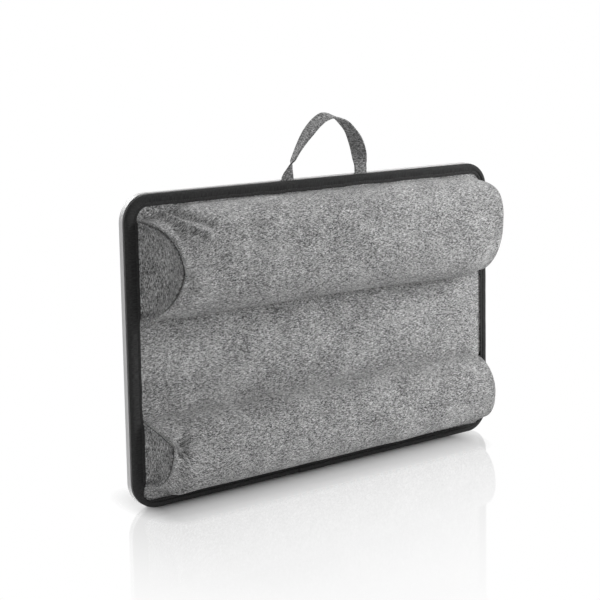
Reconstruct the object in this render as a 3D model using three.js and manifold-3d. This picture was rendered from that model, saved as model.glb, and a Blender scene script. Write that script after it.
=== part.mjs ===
// Lap desk: a rigid tray with a two-bolster bead cushion on its underside and a cloth carry handle.
// It stands on one long edge with the handle up: X runs along the tray, Z is up, the cushion faces -Y.
// Units are millimetres. The origin is on the floor, below the middle of the object's box.
import * as THREE from "three";
import { mergeVertices } from "three/addons/utils/BufferGeometryUtils.js";
import Module from "manifold-3d";

// Tray
const TRAY_LENGTH = 580;
const TRAY_WIDTH = 380;
const CORNER_RADIUS = 34;
const CORE_THICKNESS = 5.8;
const WORK_SURFACE_THICKNESS = 0.8;
const BACK_LAMINATE_THICKNESS = 0.8;
const EDGE_BAND_THICKNESS = 1.2;
const EDGE_CLOSER_LENGTH = 7.5; // short piece of band that closes the ring
const EDGE_CLOSER_GAP = 0.8; // at each of its two ends
const EDGE_CLOSER_ANGLE = 96; // degrees round the top left corner

// Ease between neighbours: a glue line in the tray, sewing ease in the cushion
const FIT_GAP = 0.3;

// Cushion cloths and the foam tape that holds the cushion to the tray
const FOAM_TAPE_THICKNESS = 2.8;
const FOAM_TAPE_WIDTH = 25;
const FOAM_TAPE_END_MARGIN = 50; // from the tray's end
const FOAM_TAPE_ROWS = 5;
const FOAM_TAPE_CLEARANCE = 12; // from the handle's roots to the nearest row
const BASE_CLOTH_THICKNESS = 0.8;
const COVER_CLOTH_THICKNESS = 1;
const END_PANEL_THICKNESS = 1;
const BAG_CLOTH_THICKNESS = 1.2;
const BAG_MOUTH_LENGTH = 90; // filling slot in the back of each bag
const BAG_MOUTH_WIDTH = 14;

// Edge binding, a tape folded round the cushion's rim and lapped over itself on the standing edge
const BINDING_WIDTH = 15;
const BINDING_THICKNESS = 1;
const BINDING_LAP_START = -45;
const BINDING_LAP_LENGTH = 48;

// Bolsters: heights run up the tray's width, depths run out from its underside
const BOLSTER_INSET = 1; // from the binding's inner edge to a bolster's flank
const UPPER_BOLSTER_HEIGHT = 138;
const UPPER_BOLSTER_DEPTH = 75;
const UPPER_CREST_LIFT = 6; // of the crest above the middle of the bolster
const LOWER_BOLSTER_HEIGHT = 98;
const LOWER_BOLSTER_DEPTH = 54;
const LOWER_CREST_LIFT = 0;
const BOLSTER_FULLNESS = 2.2; // 2 is an ellipse, more is squarer
const END_TAPER = 75; // length over which a bolster fills out from its end panel

// Bolster ends: how far the flanks draw in there, and the end panel's own crest and fullness
const UPPER_LEFT_TOP_DROP = 16.5;
const UPPER_LEFT_FOOT_RISE = 4.5;
const UPPER_LEFT_CREST_LIFT = 4.7;
const UPPER_LEFT_FULLNESS = 1.9;
const UPPER_RIGHT_TOP_DROP = 13;
const UPPER_RIGHT_FOOT_RISE = 6;
const UPPER_RIGHT_CREST_LIFT = 15;
const UPPER_RIGHT_FULLNESS = 2.3;
const LOWER_LEFT_TOP_DROP = 6;
const LOWER_LEFT_FOOT_RISE = 14;
const LOWER_LEFT_CREST_LIFT = 16;
const LOWER_LEFT_TOP_FULLNESS = 1.1;
const LOWER_LEFT_FOOT_FULLNESS = 2.9;
const LOWER_RIGHT_TOP_DROP = 8;
const LOWER_RIGHT_FOOT_RISE = 12;
const LOWER_RIGHT_CREST_LIFT = 6;
const LOWER_RIGHT_FULLNESS = 2;
const END_PANEL_INSET = 0.6; // from the binding's inner edge to the foot of an end panel
const END_PANEL_LEAN = 15.5; // degrees, towards the middle of the tray

// Carry handle: a flat strap that turns on edge between its two roots
const STRAP_WIDTH = 20;
const STRAP_THICKNESS = 2.2;
const HANDLE_CENTRE = 9.5; // of the two roots, from the middle of the tray
const HANDLE_SPAN = 119;
const HANDLE_RISE = 75; // from the fold at the top edge to the top of the loop
const HANDLE_TOP_OFFSET = 5; // of the top of the loop, from the middle of its roots
const HANDLE_LEAN = 3; // of the top of the loop towards the cushion
const LEFT_LEG_PULL = 13; // how long the left leg keeps upright
const RIGHT_LEG_PULL = 44;
const TOP_PULL = 27; // how long the top of the loop keeps level
const STRAP_FLAT = 9.5; // flat length above each root
const STRAP_SHEAR = 35; // length over which its cross lines turn from level to square
const LEFT_TWIST_LENGTH = 38;
const RIGHT_TWIST_LENGTH = 85;
const ROOT_LENGTH = 30;

// Mesh fineness
const CORNER_SEGMENTS = 8;
const ARC_STEPS = 16;
const STRAP_STEPS = 34;
const END_STATIONS = [0, 0.15, 0.32, 0.52, 0.75, 1]; // shares of the taper
const STRAP_END_ANGLES = [80, 50, 25]; // degrees round the strap's rounded end
const CUT_THROUGH = 0.6; // how far a cutting solid passes the face that it cuts
const LEAST_RADIUS = 1;

// Depths from the tray's underside, outwards to the lap
const BASE_CLOTH_BACK = FIT_GAP + FOAM_TAPE_THICKNESS + FIT_GAP;
const COVER_BACK = BASE_CLOTH_BACK + BASE_CLOTH_THICKNESS + FIT_GAP;
const COVER_FRONT = COVER_BACK + COVER_CLOTH_THICKNESS;
const BINDING_BACK = BASE_CLOTH_BACK - FIT_GAP - BINDING_THICKNESS;
const BINDING_FRONT = COVER_FRONT + FIT_GAP + BINDING_THICKNESS;
const TRAY_THICKNESS = WORK_SURFACE_THICKNESS + CORE_THICKNESS + BACK_LAMINATE_THICKNESS + 2 * FIT_GAP;
const ROOT_THICKNESS = BINDING_BACK - 2 * FIT_GAP; // the strap's end, pressed flat behind the binding
const RIM_INSET = BINDING_THICKNESS + FIT_GAP; // of the cloths inside the folded binding
const PANEL_INSET = EDGE_BAND_THICKNESS + FIT_GAP; // of the tray's layers inside the edge band
const FLANK_INSET = BINDING_WIDTH + BOLSTER_INSET;
const CREST_DEPTH = Math.max(UPPER_BOLSTER_DEPTH, LOWER_BOLSTER_DEPTH);

const UPPER_BOLSTER = {
  top: TRAY_WIDTH - FLANK_INSET,
  foot: TRAY_WIDTH - FLANK_INSET - UPPER_BOLSTER_HEIGHT,
  depth: UPPER_BOLSTER_DEPTH,
  crestLift: UPPER_CREST_LIFT,
  left: {
    topDrop: UPPER_LEFT_TOP_DROP,
    footRise: UPPER_LEFT_FOOT_RISE,
    crestLift: UPPER_LEFT_CREST_LIFT,
    topFullness: UPPER_LEFT_FULLNESS,
    footFullness: UPPER_LEFT_FULLNESS,
  },
  right: {
    topDrop: UPPER_RIGHT_TOP_DROP,
    footRise: UPPER_RIGHT_FOOT_RISE,
    crestLift: UPPER_RIGHT_CREST_LIFT,
    topFullness: UPPER_RIGHT_FULLNESS,
    footFullness: UPPER_RIGHT_FULLNESS,
  },
};
const LOWER_BOLSTER = {
  top: FLANK_INSET + LOWER_BOLSTER_HEIGHT,
  foot: FLANK_INSET,
  depth: LOWER_BOLSTER_DEPTH,
  crestLift: LOWER_CREST_LIFT,
  left: {
    topDrop: LOWER_LEFT_TOP_DROP,
    footRise: LOWER_LEFT_FOOT_RISE,
    crestLift: LOWER_LEFT_CREST_LIFT,
    topFullness: LOWER_LEFT_TOP_FULLNESS,
    footFullness: LOWER_LEFT_FOOT_FULLNESS,
  },
  right: {
    topDrop: LOWER_RIGHT_TOP_DROP,
    footRise: LOWER_RIGHT_FOOT_RISE,
    crestLift: LOWER_RIGHT_CREST_LIFT,
    topFullness: LOWER_RIGHT_FULLNESS,
    footFullness: LOWER_RIGHT_FULLNESS,
  },
};

const wasm = await Module();
wasm.setup();

function toSolid(geometry) {
  const bare = geometry.clone();
  bare.deleteAttribute("normal");
  bare.deleteAttribute("uv");
  const merged = mergeVertices(bare);
  const vertProperties = new Float32Array(merged.attributes.position.array);
  const triVerts = new Uint32Array(merged.index.array);
  return new wasm.Manifold(new wasm.Mesh({ numProp: 3, vertProperties, triVerts }));
}

function toGeometry(solid) {
  const { vertProperties, triVerts } = solid.getMesh();
  const geometry = new THREE.BufferGeometry();
  geometry.setAttribute("position", new THREE.BufferAttribute(new Float32Array(vertProperties), 3));
  geometry.setIndex(new THREE.BufferAttribute(new Uint32Array(triVerts), 1));
  geometry.computeVertexNormals();
  return geometry;
}

// The pieces are drawn flat, as the tray lies with its underside up: x along the tray, y up its width from
// the standing edge, z out of its underside. One group then stands them all up.
function trayOutline(inset) {
  const end = TRAY_LENGTH / 2 - inset;
  const top = TRAY_WIDTH - inset;
  const radius = Math.max(CORNER_RADIUS - inset, LEAST_RADIUS);
  const quarter = Math.PI / 2;
  const outline = new THREE.Shape();
  outline.moveTo(radius - end, inset);
  outline.absarc(end - radius, inset + radius, radius, -quarter, 0);
  outline.absarc(end - radius, top - radius, radius, 0, quarter);
  outline.absarc(radius - end, top - radius, radius, quarter, 2 * quarter);
  outline.absarc(radius - end, inset + radius, radius, 2 * quarter, 3 * quarter);
  return outline;
}

function extrude(outline, from, to) {
  const options = { depth: to - from, bevelEnabled: false, curveSegments: CORNER_SEGMENTS };
  return new THREE.ExtrudeGeometry(outline, options).translate(0, 0, from);
}

function trayPlate(inset, from, to) {
  return extrude(trayOutline(inset), from, to);
}

function trayRing(outerInset, innerInset, from, to) {
  const outline = trayOutline(outerInset);
  outline.holes.push(trayOutline(innerInset));
  return extrude(outline, from, to);
}

function block(x, y, z) {
  const middle = [(x[0] + x[1]) / 2, (y[0] + y[1]) / 2, (z[0] + z[1]) / 2];
  return new THREE.BoxGeometry(x[1] - x[0], y[1] - y[0], z[1] - z[0]).translate(...middle);
}

// Skins a row of closed sections, each a loop that runs anticlockwise seen from the last one.
function loft(sections) {
  const count = sections[0].length;
  const index = [];
  for (let row = 0; row + 1 < sections.length; row += 1) {
    for (let place = 0; place < count; place += 1) {
      const here = row * count + place;
      const next = row * count + ((place + 1) % count);
      index.push(here, next, here + count);
      index.push(next, next + count, here + count);
    }
  }
  const last = (sections.length - 1) * count;
  for (let place = 1; place + 1 < count; place += 1) {
    index.push(0, place + 1, place);
    index.push(last, last + place, last + place + 1);
  }
  const geometry = new THREE.BufferGeometry().setFromPoints(sections.flat());
  geometry.setIndex(index);
  geometry.computeVertexNormals();
  return geometry;
}

// How far the binding's rounded inner corner comes in from its straight side, `fromEdge` up from the tray's edge
function cornerDrawIn(fromEdge) {
  const radius = Math.max(CORNER_RADIUS - BINDING_WIDTH, LEAST_RADIUS);
  const level = THREE.MathUtils.clamp(CORNER_RADIUS - fromEdge, 0, radius);
  return radius - Math.sqrt(radius ** 2 - level ** 2);
}

// Distance from the middle of the tray to the end panels' outside, at a depth
function endPanelReach(depth) {
  const lean = Math.tan(THREE.MathUtils.degToRad(END_PANEL_LEAN));
  const topDrop = Math.min(UPPER_BOLSTER.left.topDrop, UPPER_BOLSTER.right.topDrop);
  const footRise = Math.min(LOWER_BOLSTER.left.footRise, LOWER_BOLSTER.right.footRise);
  const lowestCorner = FLANK_INSET + Math.min(topDrop, footRise);
  const inset = BINDING_WIDTH + cornerDrawIn(lowestCorner) + END_PANEL_INSET;
  return TRAY_LENGTH / 2 - inset - lean * (depth - COVER_FRONT);
}

function softPower(value, fullness) {
  return Math.sign(value) * Math.abs(value) ** (2 / fullness);
}

// A bolster's D-shaped section drawn in by `skin`, standing on depth `base`. Fill is 0 at the sewn end and 1
// where the bolster is full, and placeX gives x from the depth.
function bolsterSection(bolster, end, fill, skin, base, placeX) {
  const blend = (atEnd, full) => THREE.MathUtils.lerp(atEnd, full, fill);
  const top = bolster.top - blend(end.topDrop, 0) - skin;
  const foot = bolster.foot + blend(end.footRise, 0) + skin;
  const rise = bolster.depth - skin - base;
  const crestLift = blend(end.crestLift, bolster.crestLift);
  const points = [];
  for (let step = 0; step <= ARC_STEPS; step += 1) {
    const angle = (Math.PI * step) / ARC_STEPS;
    const endFullness = angle < Math.PI / 2 ? end.topFullness : end.footFullness;
    const fullness = blend(endFullness, BOLSTER_FULLNESS);
    const lift = crestLift * Math.sin(angle) ** 2;
    const height = (top + foot) / 2 + ((top - foot) / 2) * softPower(Math.cos(angle), fullness) + lift;
    const depth = base + rise * softPower(Math.sin(angle), fullness);
    points.push(new THREE.Vector3(placeX(depth), height, depth));
  }
  return points;
}

// A whole bolster drawn in by `skin` all round and by `endSkin` at its two ends
function bolsterBody(bolster, skin, endSkin, base) {
  const half = endPanelReach(COVER_FRONT);
  const fillAt = (share) => THREE.MathUtils.smoothstep(share, 0, 1);
  const fromEnd = END_STATIONS.map((share) => [share * (END_TAPER / half), fillAt(share)]);
  const left = fromEnd.map(([inward, fill]) => [inward - 1, fill, bolster.left]);
  const right = fromEnd.map(([inward, fill]) => [1 - inward, fill, bolster.right]).reverse();
  const sections = [...left, ...right].map(([share, fill, end]) => {
    const placeX = (depth) => share * (endPanelReach(depth) - endSkin);
    return bolsterSection(bolster, end, fill, skin, base, placeX);
  });
  return toSolid(loft(sections));
}

function cushionCover() {
  const hem = toSolid(trayPlate(RIM_INSET, COVER_BACK, COVER_FRONT));
  return [UPPER_BOLSTER, LOWER_BOLSTER].reduce((cover, bolster) => {
    const outside = bolsterBody(bolster, 0, 0, COVER_BACK);
    const inside = bolsterBody(bolster, COVER_CLOTH_THICKNESS, -CUT_THROUGH, COVER_BACK - CUT_THROUGH);
    return cover.add(outside).subtract(inside);
  }, hem);
}

function endPanel(bolster, side) {
  const skin = COVER_CLOTH_THICKNESS + FIT_GAP;
  const end = side > 0 ? bolster.right : bolster.left;
  const faces = [END_PANEL_THICKNESS, 0].map((inward) => {
    const placeX = (depth) => side * (endPanelReach(depth) - inward);
    return bolsterSection(bolster, end, 0, skin, COVER_BACK, placeX);
  });
  return loft(side > 0 ? faces : faces.reverse());
}

function beadBag(bolster) {
  const skin = COVER_CLOTH_THICKNESS + FIT_GAP;
  const endSkin = END_PANEL_THICKNESS + FIT_GAP;
  const wall = BAG_CLOTH_THICKNESS;
  const outside = bolsterBody(bolster, skin, endSkin, COVER_BACK);
  const inside = bolsterBody(bolster, skin + wall, endSkin + wall, COVER_BACK + wall);
  const middle = (bolster.top + bolster.foot) / 2;
  const mouth = block(
    [-BAG_MOUTH_LENGTH / 2, BAG_MOUTH_LENGTH / 2],
    [middle - BAG_MOUTH_WIDTH / 2, middle + BAG_MOUTH_WIDTH / 2],
    [COVER_BACK - CUT_THROUGH, COVER_BACK + wall + CUT_THROUGH],
  );
  return outside.subtract(inside).subtract(toSolid(mouth));
}

// A block that cuts a length out of the edge band where its closing piece goes
function closerCut(length) {
  const cut = block(
    [CORNER_RADIUS - EDGE_BAND_THICKNESS - CUT_THROUGH, CORNER_RADIUS + CUT_THROUGH],
    [-length / 2, length / 2],
    [-TRAY_THICKNESS - CUT_THROUGH, CUT_THROUGH],
  );
  cut.rotateZ(THREE.MathUtils.degToRad(EDGE_CLOSER_ANGLE));
  cut.translate(CORNER_RADIUS - TRAY_LENGTH / 2, TRAY_WIDTH - CORNER_RADIUS, 0);
  return toSolid(cut);
}

function bandRing() {
  return toSolid(trayRing(0, EDGE_BAND_THICKNESS, -TRAY_THICKNESS, 0));
}

function edgeBand() {
  return bandRing().subtract(closerCut(EDGE_CLOSER_LENGTH + 2 * EDGE_CLOSER_GAP));
}

function edgeBandCloser() {
  return bandRing().intersect(closerCut(EDGE_CLOSER_LENGTH));
}

function edgeBinding() {
  const tape = toSolid(trayRing(0, BINDING_WIDTH, BINDING_BACK, BINDING_FRONT));
  const foldBack = BINDING_BACK + BINDING_THICKNESS;
  const foldFront = BINDING_FRONT - BINDING_THICKNESS;
  const fold = toSolid(trayPlate(BINDING_THICKNESS, foldBack, foldFront));
  const lap = block(
    [BINDING_LAP_START, BINDING_LAP_START + BINDING_LAP_LENGTH],
    [0, FLANK_INSET - FIT_GAP],
    [BINDING_FRONT - BINDING_THICKNESS / 2, BINDING_FRONT + BINDING_THICKNESS],
  );
  return tape.subtract(fold).add(toSolid(lap));
}

// The handle folds about the line where its strap leaves the top edge.
const FOLD_HEIGHT = TRAY_WIDTH + STRAP_THICKNESS / 2 + FIT_GAP;
const FOLD_DEPTH = FIT_GAP + ROOT_THICKNESS / 2;
const LEFT_ROOT = HANDLE_CENTRE - HANDLE_SPAN / 2;
const RIGHT_ROOT = HANDLE_CENTRE + HANDLE_SPAN / 2;

function handleRoute() {
  const top = new THREE.Vector2(HANDLE_CENTRE + HANDLE_TOP_OFFSET, FOLD_HEIGHT + HANDLE_RISE);
  const left = new THREE.CubicBezierCurve(
    new THREE.Vector2(LEFT_ROOT, FOLD_HEIGHT),
    new THREE.Vector2(LEFT_ROOT, FOLD_HEIGHT + LEFT_LEG_PULL),
    new THREE.Vector2(top.x - TOP_PULL, top.y),
    top,
  );
  const right = new THREE.CubicBezierCurve(
    top,
    new THREE.Vector2(top.x + TOP_PULL, top.y),
    new THREE.Vector2(RIGHT_ROOT, FOLD_HEIGHT + RIGHT_LEG_PULL),
    new THREE.Vector2(RIGHT_ROOT, FOLD_HEIGHT),
  );
  const route = new THREE.CurvePath();
  route.add(left);
  route.add(right);
  return route;
}

// Quarter turn of the strap: its inner face looks out of the tray at the roots and into the loop at the top.
function strapTurn(fromLeft, fromRight) {
  const left = THREE.MathUtils.smoothstep(fromLeft, STRAP_FLAT, STRAP_FLAT + LEFT_TWIST_LENGTH);
  const right = THREE.MathUtils.smoothstep(fromRight, STRAP_FLAT, STRAP_FLAT + RIGHT_TWIST_LENGTH);
  return (Math.PI / 2) * Math.min(left, right);
}

// Direction that the strap's cross lines are square to: upright at the roots, then along the route
function strapHeading(route, share, length) {
  const fromRoot = Math.min(share, 1 - share) * length;
  const upright = new THREE.Vector2(0, share < 0.5 ? 1 : -1);
  const turned = THREE.MathUtils.smoothstep(fromRoot, 0, STRAP_SHEAR);
  return upright.lerp(route.getTangentAt(share), turned).normalize();
}

function strapSection(centre, along, turn, thickness) {
  const inward = new THREE.Vector3(along.y, -along.x, 0).multiplyScalar(Math.sin(turn));
  const face = new THREE.Vector3(0, 0, Math.cos(turn)).add(inward);
  const across = new THREE.Vector3(along.x, along.y, 0).cross(face);
  return [[1, -1], [1, 1], [-1, 1], [-1, -1]].map(([front, right]) => {
    const point = centre.clone().addScaledVector(face, (front * thickness) / 2);
    return point.addScaledVector(across, (right * STRAP_WIDTH) / 2);
  });
}

// Sections that round the strap's end off about the fold line, from its tip upwards
function strapEnd(rootX, upward) {
  const radius = STRAP_THICKNESS / 2;
  return STRAP_END_ANGLES.map((degrees) => {
    const angle = THREE.MathUtils.degToRad(degrees);
    const centre = new THREE.Vector3(rootX, FOLD_HEIGHT - radius * Math.sin(angle), FOLD_DEPTH);
    return strapSection(centre, new THREE.Vector2(0, upward), 0, 2 * radius * Math.cos(angle));
  });
}

function carryHandle() {
  const route = handleRoute();
  const length = route.getLength();
  const sections = [];
  for (let step = 0; step <= STRAP_STEPS; step += 1) {
    const share = step / STRAP_STEPS;
    const place = route.getPointAt(share);
    const lean = HANDLE_LEAN * THREE.MathUtils.smoothstep(place.y, FOLD_HEIGHT, FOLD_HEIGHT + HANDLE_RISE);
    const centre = new THREE.Vector3(place.x, place.y, FOLD_DEPTH + lean);
    const turn = strapTurn(share * length, (1 - share) * length);
    sections.push(strapSection(centre, strapHeading(route, share, length), turn, STRAP_THICKNESS));
  }
  return loft([...strapEnd(LEFT_ROOT, 1), ...sections, ...strapEnd(RIGHT_ROOT, -1).reverse()]);
}

function handleRoot(rootX) {
  const top = FOLD_HEIGHT - STRAP_THICKNESS / 2 - FIT_GAP;
  return block(
    [rootX - STRAP_WIDTH / 2, rootX + STRAP_WIDTH / 2],
    [top - ROOT_LENGTH, top],
    [FIT_GAP, FIT_GAP + ROOT_THICKNESS],
  );
}

function foamTape(row) {
  const margin = ROOT_LENGTH + FOAM_TAPE_CLEARANCE + FOAM_TAPE_WIDTH / 2;
  const height = margin + (row * (TRAY_WIDTH - 2 * margin)) / (FOAM_TAPE_ROWS - 1);
  return block(
    [FOAM_TAPE_END_MARGIN - TRAY_LENGTH / 2, TRAY_LENGTH / 2 - FOAM_TAPE_END_MARGIN],
    [height - FOAM_TAPE_WIDTH / 2, height + FOAM_TAPE_WIDTH / 2],
    [FIT_GAP, FIT_GAP + FOAM_TAPE_THICKNESS],
  );
}

// Finishes
const MELANGE_CLOTH = { color: 0x7d7d7d, roughness: 0.95, metalness: 0 };
const BLACK_TAPE = { color: 0x1b1b1b, roughness: 0.8, metalness: 0 };
const SILVER_BAND = { color: 0xb4b5b7, roughness: 0.45, metalness: 0 };
const GREY_LAMINATE = { color: 0xb9babc, roughness: 0.5, metalness: 0 };
const BOARD = { color: 0x9c7f5c, roughness: 0.9, metalness: 0 };
const DARK_CLOTH = { color: 0x2b2b2b, roughness: 0.95, metalness: 0 };
const WHITE_CLOTH = { color: 0xe4e3de, roughness: 0.95, metalness: 0 };
const FOAM = { color: 0xf0efe9, roughness: 0.9, metalness: 0 };

// Standing group: turns the flat drawing up on its long edge and centres its depth over the origin
const standing = new THREE.Group();
standing.rotation.x = Math.PI / 2;
standing.position.y = (CREST_DEPTH - TRAY_THICKNESS) / 2;

function addPiece(name, geometry, finish) {
  const mesh = new THREE.Mesh(geometry, new THREE.MeshStandardMaterial(finish));
  mesh.name = name;
  standing.add(mesh);
}

function addTray() {
  const laminateBack = -BACK_LAMINATE_THICKNESS;
  const coreFront = laminateBack - FIT_GAP;
  const coreBack = coreFront - CORE_THICKNESS;
  const surfaceFront = coreBack - FIT_GAP;
  addPiece("tray_core", trayPlate(PANEL_INSET, coreBack, coreFront), BOARD);
  addPiece("work_surface", trayPlate(PANEL_INSET, -TRAY_THICKNESS, surfaceFront), GREY_LAMINATE);
  addPiece("back_laminate", trayPlate(PANEL_INSET, laminateBack, 0), GREY_LAMINATE);
  addPiece("edge_band", toGeometry(edgeBand()), SILVER_BAND);
  addPiece("edge_band_closer", toGeometry(edgeBandCloser()), SILVER_BAND);
}

function addCushion() {
  for (let row = 0; row < FOAM_TAPE_ROWS; row += 1) {
    addPiece(`foam_tape_${row + 1}`, foamTape(row), FOAM);
  }
  const baseClothFront = BASE_CLOTH_BACK + BASE_CLOTH_THICKNESS;
  addPiece("base_cloth", trayPlate(RIM_INSET, BASE_CLOTH_BACK, baseClothFront), DARK_CLOTH);
  addPiece("cushion_cover", toGeometry(cushionCover()), MELANGE_CLOTH);
  for (const [level, bolster] of [["upper", UPPER_BOLSTER], ["lower", LOWER_BOLSTER]]) {
    addPiece(`${level}_left_end_panel`, endPanel(bolster, -1), MELANGE_CLOTH);
    addPiece(`${level}_right_end_panel`, endPanel(bolster, 1), MELANGE_CLOTH);
    addPiece(`${level}_bead_bag`, toGeometry(beadBag(bolster)), WHITE_CLOTH);
  }
  addPiece("edge_binding", toGeometry(edgeBinding()), BLACK_TAPE);
}

function addHandle() {
  addPiece("carry_handle", carryHandle(), MELANGE_CLOTH);
  addPiece("handle_root_left", handleRoot(LEFT_ROOT), MELANGE_CLOTH);
  addPiece("handle_root_right", handleRoot(RIGHT_ROOT), MELANGE_CLOTH);
}

addTray();
addCushion();
addHandle();

const lapDesk = new THREE.Group();
lapDesk.add(standing);

export default lapDesk;
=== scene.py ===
"""Looks of the lap desk: its sewn cushion, bound rim, carry strap and tray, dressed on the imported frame.

Pieces are drawn in tray coordinates, in millimetres: along the tray, up its width from the standing edge,
and out of its underside towards the lap. stand() turns them into metres in the frame.
"""
import math
from dataclasses import astuple, dataclass

import bmesh
import bpy
import numpy as np
from mathutils import Matrix, Vector, noise


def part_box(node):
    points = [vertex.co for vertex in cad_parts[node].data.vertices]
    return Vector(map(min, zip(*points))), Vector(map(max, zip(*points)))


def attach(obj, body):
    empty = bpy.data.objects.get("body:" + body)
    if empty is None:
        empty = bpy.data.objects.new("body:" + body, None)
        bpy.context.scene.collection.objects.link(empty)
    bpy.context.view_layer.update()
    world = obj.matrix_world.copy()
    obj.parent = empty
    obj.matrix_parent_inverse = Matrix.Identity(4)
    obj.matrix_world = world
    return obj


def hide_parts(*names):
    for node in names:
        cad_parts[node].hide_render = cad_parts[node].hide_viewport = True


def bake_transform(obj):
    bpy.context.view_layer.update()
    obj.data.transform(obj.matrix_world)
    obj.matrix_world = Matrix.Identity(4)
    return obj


MM = 0.001
TINY = 1e-9  # keeps a length that is divided by above zero

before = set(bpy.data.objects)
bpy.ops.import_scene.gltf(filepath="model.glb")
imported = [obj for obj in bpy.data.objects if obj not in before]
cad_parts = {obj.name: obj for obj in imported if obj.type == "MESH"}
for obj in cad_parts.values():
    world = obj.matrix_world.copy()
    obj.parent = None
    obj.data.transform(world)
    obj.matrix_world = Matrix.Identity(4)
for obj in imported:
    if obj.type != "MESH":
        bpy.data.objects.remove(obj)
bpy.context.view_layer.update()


def node_box(node):
    low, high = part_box(node)
    return np.array(low) / MM, np.array(high) / MM


# Camera at the photograph's place, in degrees and millimetres
CAMERA_AZIMUTH = -37.035
CAMERA_PITCH = 7.111
CAMERA_ROLL = -1.028
CAMERA_DISTANCE = 1874.3
CAMERA_TARGET = (-30.4, 33.5, 338.6)
CAMERA_LENS = 88.56
SENSOR_WIDTH = 36
CAMERA_SHIFT = -0.1487

# Tray, from the frame
HALF_LENGTH = node_box("edge_band")[1][0]
TRAY_WIDTH = node_box("edge_band")[1][2]
UNDERSIDE = node_box("back_laminate")[0][1]
CORNER_RADIUS = 34
TRAY_BEVEL = 0.35

# Weave, with the length of the slubs in its yarns
YARN_PITCH = 0.7
WEFT_SLUB = 4.2
WARP_SLUB = 3
YARN_SPREAD = 7.31  # keeps the tones of neighbouring yarns apart
TONE_RANGE = (0.375, 0.645)  # from the darkest yarns to the lightest
TONE_POWER = 1.3
CLOUD_SIZE = 45
CLOUD_RANGE = (-0.02, 0.02)
WARP_SHARE = (0.1, 0.4)  # of the tone, where the weft lies on top and where the warp does

# Patterns of the other materials: lengths, or repeats in a millimetre along each axis
NOISE_RANGE = (0.3, 0.7)  # most of a noise texture's values
FINE_NOISE_RANGE = (0.35, 0.65)
RIB_PITCH = 1.3
TAPE_FUZZ = (1 / RIB_PITCH, 1 / 4, 1)
RIB_SHARE = 0.35  # of the tape's shading, beside its fuzz
THREAD_TWIST = 1.6
BAND_GRAIN = (0.03, 3.0, 0.03)
BAND_SCUFF = 0.12
BAND_ROUGHNESS = (0.32, 0.46)
SCUFF_SHARE = 0.4
LAMINATE_PEBBLE = 0.9
LAMINATE_FLECK = 1.4
LAMINATE_CLOUD = 0.015
LAMINATE_ROUGHNESS = (0.42, 0.55)
CLOUD_SHARE = 0.3
BOARD_FIBRE = (0.4, 2.0, 0.4)
FOAM_CELL = 1.2
LINING_WARP = (1.8, 1.8, 0.2)
LINING_WEFT = (0.2, 1.8, 1.8)

# Darkest and lightest tone of each material
CUSHION_GREYS = (0.06, 0.9)
STRAP_GREYS = (0.04, 0.62)
TAPE_GREYS = (0.026, 0.072)
BAND_GREYS = (0.55, 0.66)
LAMINATE_GREYS = (0.46, 0.56)
FOAM_GREYS = (0.70, 0.86)
BASE_CLOTH_GREYS = (0.018, 0.04)
BAG_CLOTH_GREYS = (0.66, 0.82)
BLACK_THREAD_GREYS = (0.021, 0.0375)
GREY_THREAD_GREYS = (0.154, 0.275)
BOARD_COLOURS = ((0.24, 0.16, 0.09), (0.42, 0.30, 0.18))

# Cushion cloth
CLOTH_MAP = "cloth"
CLOTH_THICKNESS = 1
HEM_DEPTH = 5.5
HEM_INSET = 2
HEM_ROWS = 4
HEM_TUCK = 4  # how far the cloth beside an end panel reaches under the binding
HEM_DROP = 0.8
HEM_FADE = 15  # over which the cloth past a panel reaches out to the rim
VALLEY_ROWS = 26
VALLEY_PUFF_LEFT = 4.2
VALLEY_PUFF_RIGHT = 5.7
VALLEY_FADE = 18  # over which the puff dies out at the ends
VALLEY_LEAN = 1.35  # above 1 the puff sits nearer the lower bolster
VALLEY_FULLNESS = 0.6
CLOTH_STEP = 4.2
CLOTH_CROWDING = 0.05  # of its columns towards the ends
END_FOOT = node_box("upper_right_end_panel")[1][0]
LEFT_END_LEAN = 15.5
RIGHT_END_LEAN = 14
LEFT_END_TAPER = 75
RIGHT_END_TAPER = 35
SAG_START = 60  # from the middle, where a bolster's foot begins to hang to the right
SAG_END = 230
SEWN_RISE = 0.5  # above the hem, where an end panel's seam starts
LIP = 2.6  # radius of the cloth where it rolls over to an end panel's seam
LIP_ANGLES = (22, 45, 68, 90)
SEAM_TUCKS = ((3, 2.2), (6.5, 5))  # how far the seam goes in, and down, past the lip
SEAM_GAP = 1.8
SEAM_RISE = 3  # depth over which the seam opens from its two ends
PANEL_HOLLOW = 11
PANEL_FOOT_INSET = 3  # of an end panel's foot from the tape's line
PANEL_HEM = 9
PANEL_STEPS = 28
PANEL_CROWDING = 1.6  # of its columns towards the seam
LIP_CLEARANCE = 1

# Cushion stuffing by simulation
SIM_FRAMES = 20
SIM_SETTINGS = {
    "quality": 6,
    "mass": 0.3,
    "tension_stiffness": 20,
    "compression_stiffness": 20,
    "shear_stiffness": 8,
    "bending_stiffness": 3,
    "use_pressure": True,
    "uniform_pressure_force": 2.5,
    "shrink_min": -0.008,  # lets the cloth grow by this share
}
SIM_CAP = 5
SIM_HOLD = 0.2  # how firmly the free cloth keeps its place
SIM_SHRINK = 1  # how far the cloth starts inside its stuffed shape
SIM_SMOOTHING = 40
LUMP = 0.7  # height of the broad lumps in the stuffing
LUMP_SIZE = 55
FOLD_FADE = 5  # above the hem, where folds reach their full height

# Bead bags
BAG_SKIN = 14
BAG_END_GAP = 22
BAG_COLUMNS = 60
BAG_LIFT = 1
BAG_LUMP = 1.2
BAG_LUMP_SIZE = 14
BAG_FLAT = 8  # above the hem, where its lumps begin


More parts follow.
